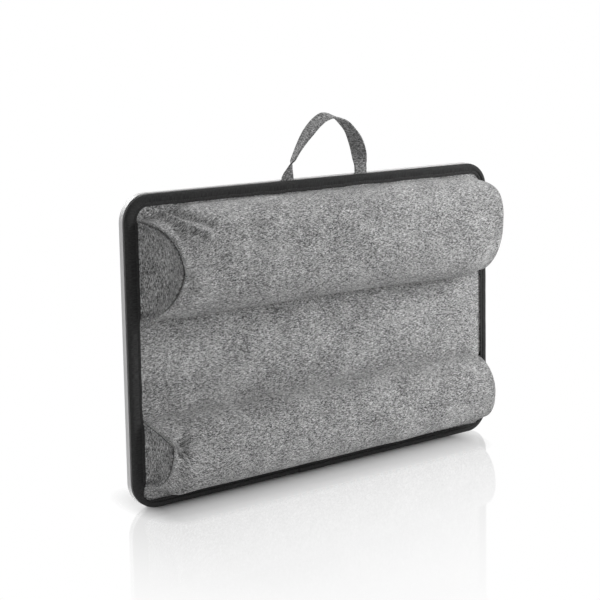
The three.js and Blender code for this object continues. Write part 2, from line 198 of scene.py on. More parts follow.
@dataclass
class Section:
    """A cut across a bolster. A fullness of 2 makes that half an ellipse, and more makes it boxier."""
    top: float
    foot: float
    depth: float
    lift: float
    upper_fullness: float
    lower_fullness: float


@dataclass
class Bolster:
    name: str
    middle: Section
    left: Section
    right: Section
    steps: int
    foot_taper: float  # length over which its foot edge fills out from an end panel
    overhang: float  # how far its foot edge hangs over its root
    right_sag: float  # how far its foot hangs lower towards the right


UPPER = Bolster(
    "upper",
    middle=Section(364, 226.5, 75, 6, 2.2, 2.4),
    left=Section(347.7, 230.7, 75, 4.7, 1.95, 1.8),
    right=Section(354, 232, 75, 16, 2.4, 2.05),
    steps=62,
    foot_taper=45,
    overhang=10,
    right_sag=4,
)
LOWER = Bolster(
    "lower",
    middle=Section(114, 14.5, 54, -1, 2.2, 2.6),
    left=Section(108, 30, 51.6, 15.9, 1.1, 2.9),
    right=Section(105.5, 23.5, 53, 2, 1.9, 2.4),
    steps=46,
    foot_taper=30,
    overhang=2,
    right_sag=-2,
)

# Binding tape
TAPE_WIDTH = 15
TAPE_WIDTH_RIGHT = 12
TAPE_WIDTH_FOOT = 11  # along the standing edge
TAPE_SQUARENESS = 6  # of its lower inner corners: 2 keeps them round
TAPE_SQUARENESS_TOP = 2.3
TAPE_EXTRA = 2.4  # beside the end panels
TAPE_EXTRA_BEFORE = 6  # how far past a panel that begins
TAPE_EXTRA_WITHIN = 4  # and how far along it that is full
TAPE_TOP_INSET = 1  # of its outer fold along the top edge
TOP_INSET_FADE = 20
TOP_INSET_REACH = 6
TAPE_STEP = 3
TAPE_WAVE = 0.5
TAPE_WAVE_AT_HANDLE = 1.4
TAPE_WAVE_LENGTH = 26
HANDLE_WAVE_REACH = (40, 150)  # from the handle, where the larger wave starts to fade and is gone
TAPE_CROWN_SPREAD = 0.35
TAPE_CROWN_LENGTH = 19
TAPE_CRUMPLE = 0.2
TAPE_CRUMPLE_LENGTH = 9
TAPE_FRONT = slice(6, 17)  # the points of its section that show
TAPE_LIFT = 1.1  # of its inner edge off the cloth
TAPE_ROLL = 2.4  # how much higher its outer half stands beside the left end panels
LAP_START = -45
LAP_LENGTH = 48
LAP_THICKNESS = 1.4
LAP_STEPS = 25
LAP_SIDE = slice(3, 18)  # the points of the tape's section that it covers
LAP_TAPER = 6  # its end thins out over a sixth of its length
LAP_FOOT = 0.3
LAP_INSIDE = (0.25, -0.1)

# Carry handle
STRAP_WIDTH = 20
STRAP_HALF_THICKNESS = 1.1
HANDLE_CENTRE = 9.5
HANDLE_SPAN = 119
HANDLE_RISE = 76
HANDLE_TOP_OFFSET = 5
HANDLE_LEAN = 3
LEFT_LEG_PULL = 13
RIGHT_LEG_PULL = 49
TOP_PULL_LEFT = 28
TOP_PULL_RIGHT = 21
STRAP_SHEAR = 35
# Turns of the strap by their length from its fold, in degrees
LEFT_TURNS = ((8.5, 0), (23, 70), (35, 75), (50, 88), (66, 104), (95, 111))
RIGHT_TURNS = ((9.5, 0), (25, 38), (41, 54), (58, 77), (75, 84), (91, 100), (107, 111))
LEFT_PINCH = 0.45  # share of the strap's width that is gathered in its left twist
LEFT_PINCH_PLACE = 13
LEFT_PINCH_LENGTH = 9
STRAP_STEPS = 110
FOLD_HEIGHT = 381.4
FOLD_DEPTH = 1.05
ROOT_LENGTH = 29
ROOT_DROPS = np.linspace(3, ROOT_LENGTH, 10)
ROOT_SQUEEZE = 0.68
SQUEEZE_BELOW = 1.5
SQUEEZE_ABOVE = 3

# Stitches
STITCH_LENGTH = 2.6
STITCH_PITCH = 3.6
THREAD_RADIUS = 0.28
STITCH_SIDES = 6
# Rings of a stitch: place along it, thickness and how far it is pressed in
STITCH_RINGS = ((-0.5, 0.45, 0.9), (-0.25, 1, 0.2), (0.25, 1, 0.2), (0.5, 0.45, 0.9))
STRAP_STITCH_INSET = 2.8
STRAP_STITCH_MARGIN = 5
STRAP_STITCH_LEVEL = 0.84  # in half thicknesses of the strap
TAPE_STITCH_INSET = 3.6
TAPE_STITCH_DEPTH = 6.75

# Studio, in metres and watts
FLOOR_REACH = 12
FLOOR_LEVEL = 0.8
CONTACT = (-0.02, 0.034, 0)  # the strip of floor that the desk stands on: its middle and half its size
CONTACT_HALF = (0.235, 0.008, 0)
FLOOR_STRETCH = (2, 1, 1)  # shadow and reflection end sooner past the desk's ends
SHADOW_FADE = 0.08
MIRROR = 0.25
MIRROR_NEAR = 0.08
MIRROR_FAR = 0.6
MIRROR_FALL = 1.6
MIRROR_ROUGHNESS = 0.05
SKY = 0.19
SKY_FRONT = 0.3  # how much more of the sky's light comes from before the desk than from behind it
SKY_LEFT = 0.95  # and from its left than from its right
# Each lamp's power, size and place
LAMPS = {
    "key": (9, 0.6, (0.86, -0.66, 0.66)),
    "top": (2.2, 0.5, (0, 0.18, 0.95)),
    "fill": (0.8, 0.6, (-0.9, -0.95, 0.3)),
    "back": (8, 0.8, (-0.3, 1.25, 0.75)),
}
AIM = (0, 0, 0.2)


def ease(value, start, end):
    share = np.clip((value - start) / (end - start), 0, 1)
    return share * share * (3 - 2 * share)


def stand(points):
    along, height, depth = np.moveaxis(np.asarray(points, float), -1, 0)
    return np.stack([along, UNDERSIDE - depth, height], axis=-1) * MM


def grid_faces(rows, columns, ring=False):
    faces = []
    for row in range(rows - 1):
        for column in range(columns if ring else columns - 1):
            after = (column + 1) % columns
            here, below = row * columns, (row + 1) * columns
            faces.append((here + column, below + column, below + after, here + after))
    return faces


def tube_faces(rings, around):
    """Faces of a tube of rings, closed at both ends."""
    last = (rings - 1) * around
    caps = [tuple(range(around)), tuple(range(last, last + around))]
    return grid_faces(rings, around, ring=True) + caps


def make_piece(name, points, faces, cloth_map=None):
    mesh = bpy.data.meshes.new(name)
    mesh.from_pydata(stand(points).reshape(-1, 3).tolist(), [], faces)
    if cloth_map is not None:
        corners = np.empty(len(mesh.loops), dtype=int)
        mesh.loops.foreach_get("vertex_index", corners)
        layer = mesh.uv_layers.new(name=CLOTH_MAP)
        layer.uv.foreach_set("vector", cloth_map.reshape(-1, 2)[corners].astype(np.float32).ravel())
    mesh.polygons.foreach_set("use_smooth", np.ones(len(mesh.polygons), dtype=bool))
    mesh.update()
    piece = bpy.data.objects.new(name, mesh)
    bpy.context.scene.collection.objects.link(piece)
    return piece


def read_vectors(items, name):
    flat = np.empty(len(items) * 3)
    items.foreach_get(name, flat)
    return flat.reshape(-1, 3)


def turn_outwards(piece):
    shape = bmesh.new()
    shape.from_mesh(piece.data)
    bmesh.ops.recalc_face_normals(shape, faces=shape.faces)
    shape.to_mesh(piece.data)
    shape.free()


def dress(piece, material, body):
    piece.data.materials.append(material)
    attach(piece, body)


def ripple(place, size, seed):
    return noise.noise(Vector((place / size, seed, 0.5)))


# Node helpers for the materials and the world


def rgba(tone):
    """A colour from its three parts, or a grey from one number."""
    return (*np.full(3, tone, float), 1)


class Nodes:
    """A node tree, with short words for the nodes that go into it."""

    def __init__(self, tree):
        self.tree = tree

    def add(self, kind, inputs=None, **settings):
        node = self.tree.nodes.new(kind)
        for setting, value in settings.items():
            setattr(node, setting, value)
        for socket, value in (inputs or {}).items():
            if isinstance(value, bpy.types.NodeSocket):
                self.tree.links.new(value, node.inputs[socket])
            else:
                node.inputs[socket].default_value = value
        return node

    def maths(self, operation, first, second=0.0):
        return self.add("ShaderNodeMath", {0: first, 1: second}, operation=operation).outputs[0]

    def vector_maths(self, operation, first, second=(0, 0, 0), output="Vector"):
        node = self.add("ShaderNodeVectorMath", {0: first, 1: second}, operation=operation)
        return node.outputs[output]

    def parts(self, vector):
        return self.add("ShaderNodeSeparateXYZ", {0: vector}).outputs

    def place(self, kind):
        return self.add("ShaderNodeTexCoord").outputs[kind]

    def remap(self, value, old_range, new_range=(0, 1)):
        inputs = dict(enumerate((value, *old_range, *new_range)))
        return self.add("ShaderNodeMapRange", inputs).outputs[0]

    def mix(self, factor, first, second):
        return self.add("ShaderNodeMix", {0: factor, 2: first, 3: second}, data_type="FLOAT").outputs[0]

    def white_rays(self):
        """1 for the rays that see a white studio: from the camera, mirrored or let through."""
        path = self.add("ShaderNodeLightPath").outputs
        seen = self.maths("MAXIMUM", path["Is Camera Ray"], path["Is Glossy Ray"])
        return self.maths("MAXIMUM", seen, path["Is Transmission Ray"])


class Surface(Nodes):
    """A material in the making, with its shader."""

    def __init__(self, name, **settings):
        self.material = bpy.data.materials.new(name)
        self.material.use_nodes = True
        super().__init__(self.material.node_tree)
        self.shader = self.tree.nodes["Principled BSDF"]
        for socket, value in settings.items():
            self.shader.inputs[socket.replace("_", " ")].default_value = value

    def connect(self, source, socket):
        self.tree.links.new(source, self.shader.inputs[socket])

    def colour(self, share, tones):
        """Colours the surface from the first of two tones to the second."""
        inputs = {0: share, 6: rgba(tones[0]), 7: rgba(tones[1])}
        self.connect(self.add("ShaderNodeMix", inputs, data_type="RGBA").outputs[2], "Base Color")

    def bump(self, height, distance, strength):
        inputs = {"Height": height, "Distance": distance * MM, "Strength": strength}
        self.connect(self.add("ShaderNodeBump", inputs).outputs[0], "Normal")

    def cloth_place(self):
        return self.add("ShaderNodeUVMap", uv_map=CLOTH_MAP).outputs[0]

    def solid_place(self):
        return self.stretched(self.place("Object"), (1 / MM, 1 / MM, 1 / MM))

    def stretched(self, vector, scale):
        return self.vector_maths("MULTIPLY", vector, scale)

    def speckle(self, vector, scale=1.0, detail=2.0, rough=0.5):
        inputs = {"Vector": vector, "Scale": scale, "Detail": detail, "Roughness": rough}
        return self.add("ShaderNodeTexNoise", inputs).outputs["Fac"]

    def cells(self, vector, scale):
        return self.add("ShaderNodeTexVoronoi", {"Vector": vector, "Scale": scale}).outputs["Distance"]

    def wave(self, place, pitch):
        return self.maths("SINE", self.maths("MULTIPLY", place, math.pi / pitch))


# Materials


def yarn_tone(look, along, across, slub):
    """Tone of each yarn by itself, in slubs along it."""
    number = look.maths("FLOOR", look.maths("DIVIDE", across, YARN_PITCH))
    inputs = {0: look.maths("DIVIDE", along, slub), 1: look.maths("MULTIPLY", number, YARN_SPREAD)}
    return look.speckle(look.add("ShaderNodeCombineXYZ", inputs).outputs[0], rough=0.7)


def melange_cloth(name, greys):
    """Plain weave of slubby yarns between two greys. The weft shows more than the warp."""
    look = Surface(name, Roughness=0.95, Specular_IOR_Level=0.1, Sheen_Weight=0.08)
    place = look.cloth_place()
    along, down, _ = look.parts(place)
    weft = yarn_tone(look, along, down, WEFT_SLUB)
    warp = yarn_tone(look, down, along, WARP_SLUB)
    crossing = look.maths("MULTIPLY", look.wave(along, YARN_PITCH), look.wave(down, YARN_PITCH))
    yarn = look.mix(look.remap(crossing, (-0.25, 0.25), WARP_SHARE), weft, warp)
    cloud = look.speckle(place, 1 / CLOUD_SIZE)
    tone = look.maths("ADD", yarn, look.remap(cloud, NOISE_RANGE, CLOUD_RANGE))
    look.colour(look.maths("POWER", look.remap(tone, TONE_RANGE), TONE_POWER), greys)
    look.bump(look.maths("ADD", crossing, yarn), 0.15, 0.4)
    return look.material


def black_tape():
    """Grosgrain tape with fine ribs across it."""
    look = Surface("black_tape", Roughness=0.85, Specular_IOR_Level=0.1)
    place = look.cloth_place()
    ribs = look.wave(look.parts(place)[0], RIB_PITCH / 2)
    fuzz = look.speckle(look.stretched(place, TAPE_FUZZ), detail=3.0)
    rib_share = look.remap(ribs, (-1, 1), (0, RIB_SHARE))
    fuzz_share = look.remap(fuzz, NOISE_RANGE, (0, 1 - RIB_SHARE))
    look.colour(look.maths("ADD", rib_share, fuzz_share), TAPE_GREYS)
    look.bump(look.maths("ADD", ribs, fuzz), 0.12, 0.6)
    return look.material


def sewing_thread(name, greys):
    look = Surface(name, Roughness=0.6, Sheen_Weight=0.2)
    inputs = {"Vector": look.solid_place(), "Scale": THREAD_TWIST, "Distortion": 2.0}
    twist = look.add("ShaderNodeTexWave", inputs).outputs["Fac"]
    look.colour(twist, greys)
    look.bump(twist, 0.05, 0.5)
    return look.material


def silver_band():
    """Satin edge band with a faint drawn grain and small scuffs."""
    look = Surface("silver_band", Metallic=0.25, Coat_Weight=0.1, Coat_Roughness=0.3)
    place = look.solid_place()
    grain = look.speckle(look.stretched(place, BAND_GRAIN), detail=3.0)
    scuff = look.speckle(place, BAND_SCUFF, 4.0)
    look.colour(look.remap(look.mix(SCUFF_SHARE, grain, scuff), NOISE_RANGE), BAND_GREYS)
    look.connect(look.remap(scuff, NOISE_RANGE, BAND_ROUGHNESS), "Roughness")
    look.bump(grain, 0.03, 0.4)
    return look.material


def grey_laminate():
    """Pale laminate with a fine pebbled texture."""
    look = Surface("grey_laminate", Specular_IOR_Level=0.4)
    place = look.solid_place()
    fleck = look.speckle(place, LAMINATE_FLECK, 3.0)
    cloud = look.speckle(place, LAMINATE_CLOUD, 3.0)
    look.colour(look.remap(look.mix(CLOUD_SHARE, fleck, cloud), FINE_NOISE_RANGE), LAMINATE_GREYS)
    look.connect(look.remap(cloud, NOISE_RANGE, LAMINATE_ROUGHNESS), "Roughness")
    look.bump(look.cells(place, LAMINATE_PEBBLE), 0.06, 0.5)
    return look.material


def fibre_board():
    look = Surface("fibre_board", Roughness=0.9)
    fibre = look.speckle(look.stretched(look.solid_place(), BOARD_FIBRE), detail=4.0)
    look.colour(look.remap(fibre, NOISE_RANGE), BOARD_COLOURS)
    look.bump(fibre, 0.1, 0.5)
    return look.material


def foam():
    look = Surface("foam", Roughness=0.9)
    bubbles = look.cells(look.solid_place(), FOAM_CELL)
    look.colour(look.remap(bubbles, (0, 0.7)), FOAM_GREYS)
    look.bump(bubbles, 0.2, 0.6)
    return look.material


def plain_cloth(name, greys):
    """Thin plain-woven lining cloth, placed by its solid and not by a cloth map."""
    look = Surface(name, Roughness=0.95, Sheen_Weight=0.1)
    place = look.solid_place()
    warp = look.speckle(look.stretched(place, LINING_WARP))
    weft = look.speckle(look.stretched(place, LINING_WEFT))
    yarn = look.mix(0.5, warp, weft)
    look.colour(look.remap(yarn, FINE_NOISE_RANGE), greys)
    look.bump(yarn, 0.1, 0.5)
    return look.material


# Cushion


def end_reach(side, depth):
    lean = np.where(side < 0, LEFT_END_LEAN, RIGHT_END_LEAN)
    return END_FOOT - np.tan(np.radians(lean)) * (depth - HEM_DEPTH)


def sections(bolster, side, inward):
    """A section's sizes at each column, from an end panel's to the middle's, by the distance inward."""
    ends = np.where(side[:, None] < 0, astuple(bolster.left), astuple(bolster.right))
    filled = np.array(astuple(bolster.middle)) - ends
    cut = Section(*(ends + filled * filled_out(side, inward)[:, None]).T)
    sag = bolster.right_sag * ease(side * (END_FOOT - inward), SAG_START, SAG_END)
    cut.foot = ends[:, 1] + (filled[:, 1] - sag) * ease(inward, 0, bolster.foot_taper)
    return cut


def filled_out(side, inward):
    """How far a bolster is filled out at each distance inward from an end panel, from 0 to 1."""
    return ease(inward, 0, np.where(side < 0, LEFT_END_TAPER, RIGHT_END_TAPER))


def bolster_arc(bolster, side, inward, outset):
    """Heights and depths of a bolster's cloth, with a row for each angle and a column for each distance."""
    angle = np.linspace(0, math.pi, bolster.steps + 1)[:, None]
    cut = sections(bolster, side, inward)
    fullness = np.where(angle < math.pi / 2, cut.upper_fullness, cut.lower_fullness)
    swing = np.sign(np.cos(angle)) * np.abs(np.cos(angle)) ** (2 / fullness)
    swell = np.abs(np.sin(angle)) ** (2 / fullness)
    height = (cut.top + cut.foot) / 2 + ((cut.top - cut.foot) / 2 + outset) * swing
    height += cut.lift * np.sin(angle) ** 2
    root = (1 - swell) ** 4 * (angle > math.pi / 2)
    height += bolster.overhang * ease(inward, 0, bolster.foot_taper) * root
    depth = HEM_DEPTH + (cut.depth - HEM_DEPTH + outset) * swell
    return height, depth


def cloth_columns():
    """Shares of the way from the middle to each end, closer together where the cloth tapers."""
    count = int(2 * END_FOOT / CLOTH_STEP)
    even = np.linspace(-1, 1, count + 1)
    return even + CLOTH_CROWDING * np.sin(math.pi * even) / math.pi


def valley_depth(share, crosswise):
    """How far the cloth between the bolsters stands out, more to the right and by the lower bolster."""
    puff = VALLEY_PUFF_LEFT + (VALLEY_PUFF_RIGHT - VALLEY_PUFF_LEFT) * ease(share, -0.6, 0.9)
    puff = puff * ease((1 - np.abs(share)) * END_FOOT, 0, VALLEY_FADE)
    return HEM_DEPTH + puff * np.sin(math.pi * crosswise**VALLEY_LEAN) ** VALLEY_FULLNESS


def panel_rows(share, inward, outset):
    """Heights and depths down the whole main panel, and the first row of each bolster."""
    side = np.sign(share)
    hem_shares = np.linspace(0, 1, HEM_ROWS, endpoint=False)[:, None]
    valley_shares = np.linspace(0, 1, VALLEY_ROWS + 2)[1:-1, None]
    rim_top = TRAY_WIDTH - HEM_INSET
    upper_height, upper_depth = bolster_arc(UPPER, side, inward, outset)
    lower_height, lower_depth = bolster_arc(LOWER, side, inward, outset)
    heights = [
        rim_top + (upper_height[0] - rim_top) * hem_shares,
        upper_height,
        upper_height[-1] + (lower_height[0] - upper_height[-1]) * valley_shares,
        lower_height,
        HEM_INSET + (lower_height[-1] - HEM_INSET) * hem_shares[::-1],
    ]
    flat = np.full((HEM_ROWS, len(share)), HEM_DEPTH)
    depths = [flat, upper_depth, valley_depth(share, valley_shares), lower_depth, flat]
    starts = {"upper": HEM_ROWS, "lower": HEM_ROWS + UPPER.steps + 1 + VALLEY_ROWS}
    return np.vstack(heights), np.vstack(depths), starts


def arc_normals(height, depth):
    """Outward direction of one column's cloth, as shares of height and depth."""
    rise, swell = np.gradient(height), np.gradient(depth)
    length = np.maximum(np.hypot(rise, swell), TINY)
    return swell / length, -rise / length


def rolled_end(side, height, depth):
    """Columns past the main panel's last: over the lip into an end panel's seam, or under the binding."""
    up, out = arc_normals(height, depth)
    sewn = depth > HEM_DEPTH + SEWN_RISE
    opened = ease(depth, HEM_DEPTH, HEM_DEPTH + SEAM_RISE)
    from_seam = np.abs(height[:, None] - height[sewn]).min(axis=1)
    hem_reach = HALF_LENGTH - HEM_INSET - END_FOOT
    under = HEM_TUCK + (hem_reach - HEM_TUCK) * ease(from_seam, 0, HEM_FADE)
    stages = [(math.radians(angle), 0, 0) for angle in LIP_ANGLES]
    stages += [(math.pi / 2, tuck, sink) for tuck, sink in SEAM_TUCKS]
    columns = []
    for place, (angle, tuck, sink) in enumerate(stages, start=1):
        sunk = LIP * (1 - math.cos(angle)) + sink * opened
        lip_depth = depth - sunk * out
        lip_reach = end_reach(side, lip_depth) - LIP * (1 - math.sin(angle)) - tuck * opened
        share = place / len(stages)
        reach = np.where(sewn, lip_reach, END_FOOT - LIP + (under + LIP) * share)
        rolled_height = np.where(sewn, height - sunk * up, height)
        rolled_depth = np.where(sewn, lip_depth, depth - HEM_DROP * share)
        columns.append(np.stack([side * reach, rolled_height, rolled_depth], axis=-1))
    return columns


def inside_rim(points):
    """Draws the hem's corners in to the tray's rounded outline."""
    centre = np.array([HALF_LENGTH - CORNER_RADIUS, TRAY_WIDTH / 2 - CORNER_RADIUS])
    middle = np.array([0, TRAY_WIDTH / 2])
    apart = points[..., :2] - middle
    past = np.maximum(np.abs(apart) - centre, 0)
    length = np.maximum(np.hypot(past[..., 0], past[..., 1]), TINY)
    allowed = np.minimum(1, (CORNER_RADIUS - HEM_INSET) / length)
    drawn = np.where(past > 0, centre + past * allowed[..., None], np.abs(apart))
    points[..., :2] = np.sign(apart) * drawn + middle
    return points


def main_panel_points(shrink):
    share = cloth_columns()
    inward = (1 - np.abs(share)) * END_FOOT
    fill = filled_out(np.sign(share), inward)
    outset = LIP * (1 - fill) - shrink * fill
    height, depth, starts = panel_rows(share, inward, outset)
    along = share * (end_reach(np.sign(share), depth) - LIP)
    body = np.stack([along, height, depth], axis=-1)
    left = rolled_end(-1, height[:, 0], depth[:, 0])
    right = rolled_end(1, height[:, -1], depth[:, -1])
    columns = [*left[::-1], *np.moveaxis(body, 1, 0), *right]
    return inside_rim(np.stack(columns, axis=1)), starts


def cloth_lengths(points):
    """Distances over the cloth along its middle row and down its middle column."""
    rows, columns = points.shape[:2]
    down = np.linalg.norm(np.diff(points[:, columns // 2], axis=0), axis=-1)
    along = points[rows // 2, :, 0]
    down = np.concatenate([[0], np.cumsum(down)])
    return np.stack(np.broadcast_arrays(along[None, :], -down[:, None]), axis=-1)


def stuff(piece, pinned):
    """Swells a cloth by simulation. Pinned holds 1 where it is sewn down and SIM_HOLD where it is free."""
    start = read_vectors(piece.data.vertices, "co")
    sewn = piece.vertex_groups.new(name="sewn")
    for index, weight in enumerate(pinned.ravel()):
        sewn.add([index], float(weight), "REPLACE")
    cloth = piece.modifiers.new("stuffing", "CLOTH")
    for setting, value in SIM_SETTINGS.items():
        setattr(cloth.settings, setting, value)
    cloth.settings.vertex_group_mass = sewn.name
    cloth.settings.effector_weights.gravity = 0
    cloth.collision_settings.use_collision = False
    for step in range(1, SIM_FRAMES + 1):
        bpy.context.scene.frame_set(step)
    settled = piece.evaluated_get(bpy.context.evaluated_depsgraph_get())
    swollen = read_vectors(settled.data.vertices, "co")
    piece.modifiers.remove(cloth)
    piece.vertex_groups.remove(sewn)
    bpy.context.scene.frame_set(1)
    moved = smoothed((swollen - start).reshape(*pinned.shape, 3)) * (pinned < 1)[..., None]
    length = np.maximum(np.linalg.norm(moved, axis=-1), TINY)
    moved *= np.minimum(1, SIM_CAP * MM / length)[..., None]
    piece.data.vertices.foreach_set("co", start.ravel() + moved.ravel())
    piece.data.update()


def smoothed(moved):
    """Evens out a grid of movements, so that only broad swells and dents stay."""
    for _ in range(SIM_SMOOTHING):
        edged = np.pad(moved, ((1, 1), (1, 1), (0, 0)), mode="edge")
        moved = (edged[:-2, 1:-1] + edged[2:, 1:-1] + edged[1:-1, :-2] + edged[1:-1, 2:]) / 4
    return moved


@dataclass
class Fold:
    points: list  # the fold's line, in tray coordinates
    rise: float  # out of the cloth, or into it where negative
    width: float


# Folds and dents that the photograph shows, from the top left corner round the cushion
FOLDS = [
    Fold([(-251, 361, 6), (-244, 353, 21), (-239, 348, 45), (-227, 340, 61), (-211, 333, 69)], 7, 4.2),
    Fold([(-234, 359, 6), (-229, 357, 18), (-223, 351, 33), (-212, 346, 46), (-204, 340, 55)], -6.5, 6),
    Fold([(-245, 336, 48), (-246, 331, 58)], -4, 5),
    Fold([(-268, 348, 26), (-266, 346, 34)], 1.2, 3),
    Fold([(-242, 322, 70), (-223, 321, 72), (-202, 321, 72)], 1.5, 3),
    Fold([(-149, 342, 60), (-147, 320, 74)], -2.6, 11),
    Fold([(-252, 291, 76), (-245, 278, 72), (-244, 269, 68)], -4, 7),
    Fold([(-245, 225, 7), (-247, 234, 35)], -3, 6),
    Fold([(-246, 88, 45), (-250, 83, 51), (-249, 74, 53)], -9, 6.5),
    Fold([(-240, 58, 53), (-236, 42, 47)], 2, 9),
    Fold([(-150, 112, 12), (-144, 104, 30)], -2.6, 9),
    Fold([(84, 106, 30), (94, 100, 40)], -2.6, 9),
    Fold([(172, 350, 55), (184, 338, 66)], -2.4, 13),
    Fold([(212, 60, 53), (218, 46, 51)], -2, 12),
    Fold([(252, 356, 14), (240, 346, 50), (222, 336, 66)], 1, 5),
    Fold([(244, 303, 74), (242, 272, 70)], -1.8, 10),
]


def on_cloth(points, line):
    """The cloth's own points nearest to a drawn line's, so that a fold lies in the cloth."""
    apart = np.linalg.norm(points[:, None] - np.array(line, float), axis=-1)
    return points[apart.argmin(axis=0)]


def distance_to(points, line):
    nearest = np.full(len(points), np.inf)
    for start, end in zip(line[:-1], line[1:]):
        run = end - start
        share = np.clip((points - start) @ run / (run @ run), 0, 1)
        apart = np.linalg.norm(points - start - share[:, None] * run, axis=1)
        nearest = np.minimum(nearest, apart)
    return nearest


def tray_points(piece):
    along, out, height = read_vectors(piece.data.vertices, "co").T / MM
    return np.stack([along, height, UNDERSIDE - out], axis=-1)


def tray_normals(piece):
    along, out, height = read_vectors(piece.data.vertex_normals, "vector").T
    return np.stack([along, height, -out], axis=-1)


def refine(piece):
    """Subdivides a cloth for good, so that narrow folds can be pressed into it."""
    finer = piece.modifiers.new("finer", "SUBSURF")
    finer.levels = 1
    smooth = piece.evaluated_get(bpy.context.evaluated_depsgraph_get())
    piece.data = bpy.data.meshes.new_from_object(smooth)
    piece.modifiers.remove(finer)


def press_folds(piece):
    points, normals = tray_points(piece), tray_normals(piece)
    push = np.array([LUMP * noise.noise(Vector(place) / LUMP_SIZE) for place in points])
    for fold in FOLDS:
        away = distance_to(points, on_cloth(points, fold.points))
        push += fold.rise * np.exp(-((away / fold.width) ** 2))
    push *= ease(points[:, 2], HEM_DEPTH, HEM_DEPTH + FOLD_FADE)
    piece.data.vertices.foreach_set("co", stand(points + normals * push[:, None]).ravel())
    piece.data.update()


def finish_cloth(piece, material, node):
    dress(piece, material, "desk")
    thick = piece.modifiers.new("thickness", "SOLIDIFY")
    thick.thickness = CLOTH_THICKNESS * MM
    thick.offset = -1
    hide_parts(node)


def main_panel(material):
    points, starts = main_panel_points(SIM_SHRINK)
    rows, columns = points.shape[:2]
    piece = make_piece("cushion_main_panel", points, grid_faces(rows, columns), cloth_lengths(points))
    rolled = len(LIP_ANGLES) + len(SEAM_TUCKS)
    pinned = np.full((rows, columns), SIM_HOLD)
    pinned[:HEM_ROWS + 2] = 1
    pinned[-HEM_ROWS - 2:] = 1
    pinned[:, :rolled + 1] = 1
    pinned[:, -rolled - 1:] = 1
    pinned[starts["upper"] + UPPER.steps - 1:starts["lower"] + 2] = 1
    stuff(piece, pinned)
    refine(piece)
    press_folds(piece)
    finish_cloth(piece, material, "cushion_cover")


def seam_line(bolster, side, gap, tuck):
    """A line down an end panel's seam, a gap below the lip beside it and tucked in behind it."""
    height, depth = bolster_arc(bolster, np.array([side]), np.zeros(1), np.full(1, LIP))
    height, depth = height[:, 0], depth[:, 0]
    up, out = arc_normals(height, depth)
    opened = ease(depth, HEM_DEPTH, HEM_DEPTH + SEAM_RISE)
    sunk = LIP + gap * opened
    depth = np.maximum(depth - sunk * out, HEM_DEPTH)
    reach = end_reach(side, depth) - tuck * opened
    return np.stack([side * reach, height - sunk * up, depth], axis=-1)


def end_panel_points(bolster, side):
    """Columns of a D-shaped end panel, from its seam down to its hem under the binding."""
    tuck, sink = SEAM_TUCKS[-1]
    seam = seam_line(bolster, side, SEAM_GAP, 0)
    turned_in = seam_line(bolster, side, SEAM_GAP + sink, tuck)
    behind_lip = seam_line(bolster, side, sink, tuck)
    behind_lip[:, 0] -= side * LIP_CLEARANCE
    opened = ease(seam[:, 2], HEM_DEPTH, HEM_DEPTH + SEAM_RISE)
    foot = seam.copy()
    foot[:, 0] = side * (END_FOOT - PANEL_FOOT_INSET * opened)
    foot[:, 1] = np.linspace(seam[0, 1], seam[-1, 1], len(seam))
    foot[:, 2] = HEM_DEPTH
    crosswise = np.sin(np.linspace(0, math.pi, len(seam)))
    columns = [behind_lip, turned_in, (turned_in + seam) / 2]
    for share in np.linspace(0, 1, PANEL_STEPS) ** PANEL_CROWDING:
        column = seam + (foot - seam) * share
        column[:, 0] -= side * PANEL_HOLLOW * math.sin(math.pi * share) * crosswise
        columns.append(column)
    hem = foot.copy()
    hem[:, 0] = side * (END_FOOT + PANEL_HEM)
    hem[:, 2] -= HEM_DROP
    return np.stack([*columns, hem], axis=1)


def end_panel(bolster, side, material):
    points = end_panel_points(bolster, side)
    away = np.linalg.norm(points - points[:, -2:-1], axis=-1)
    cloth_map = np.stack([points[..., 1], away], axis=-1)
    faces = grid_faces(*points.shape[:2])
    if side < 0:
        faces = [face[::-1] for face in faces]
    name = f"{bolster.name}_{'left' if side < 0 else 'right'}_end_panel"
    piece = make_piece(f"{name}_cloth", points, faces, cloth_map)
    refine(piece)
    finish_cloth(piece, material, name)


def bead_bag(bolster, material):
    """Closed bag of beads inside a bolster, lumpy where the beads press on it."""
    share = np.linspace(-1, 1, BAG_COLUMNS)
    side = np.sign(share)
    inward = (1 - np.abs(share)) * END_FOOT
    height, depth = bolster_arc(bolster, side, inward, np.full_like(inward, -BAG_SKIN))
    depth += BAG_LIFT
    along = share * (end_reach(side, depth) - BAG_END_GAP)
    points = np.moveaxis(np.stack([along, height, depth], axis=-1), 1, 0)
    lumps = [BAG_LUMP * noise.noise(Vector(place) / BAG_LUMP_SIZE) for place in points.reshape(-1, 3)]
    raised = points[..., 2] > HEM_DEPTH + BAG_FLAT
    points[..., 2] += np.reshape(lumps, raised.shape) * raised
    piece = make_piece(f"{bolster.name}_bag", points, tube_faces(*points.shape[:2]))
    turn_outwards(piece)
    dress(piece, material, "desk")
    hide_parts(f"{bolster.name}_bead_bag")


# Binding


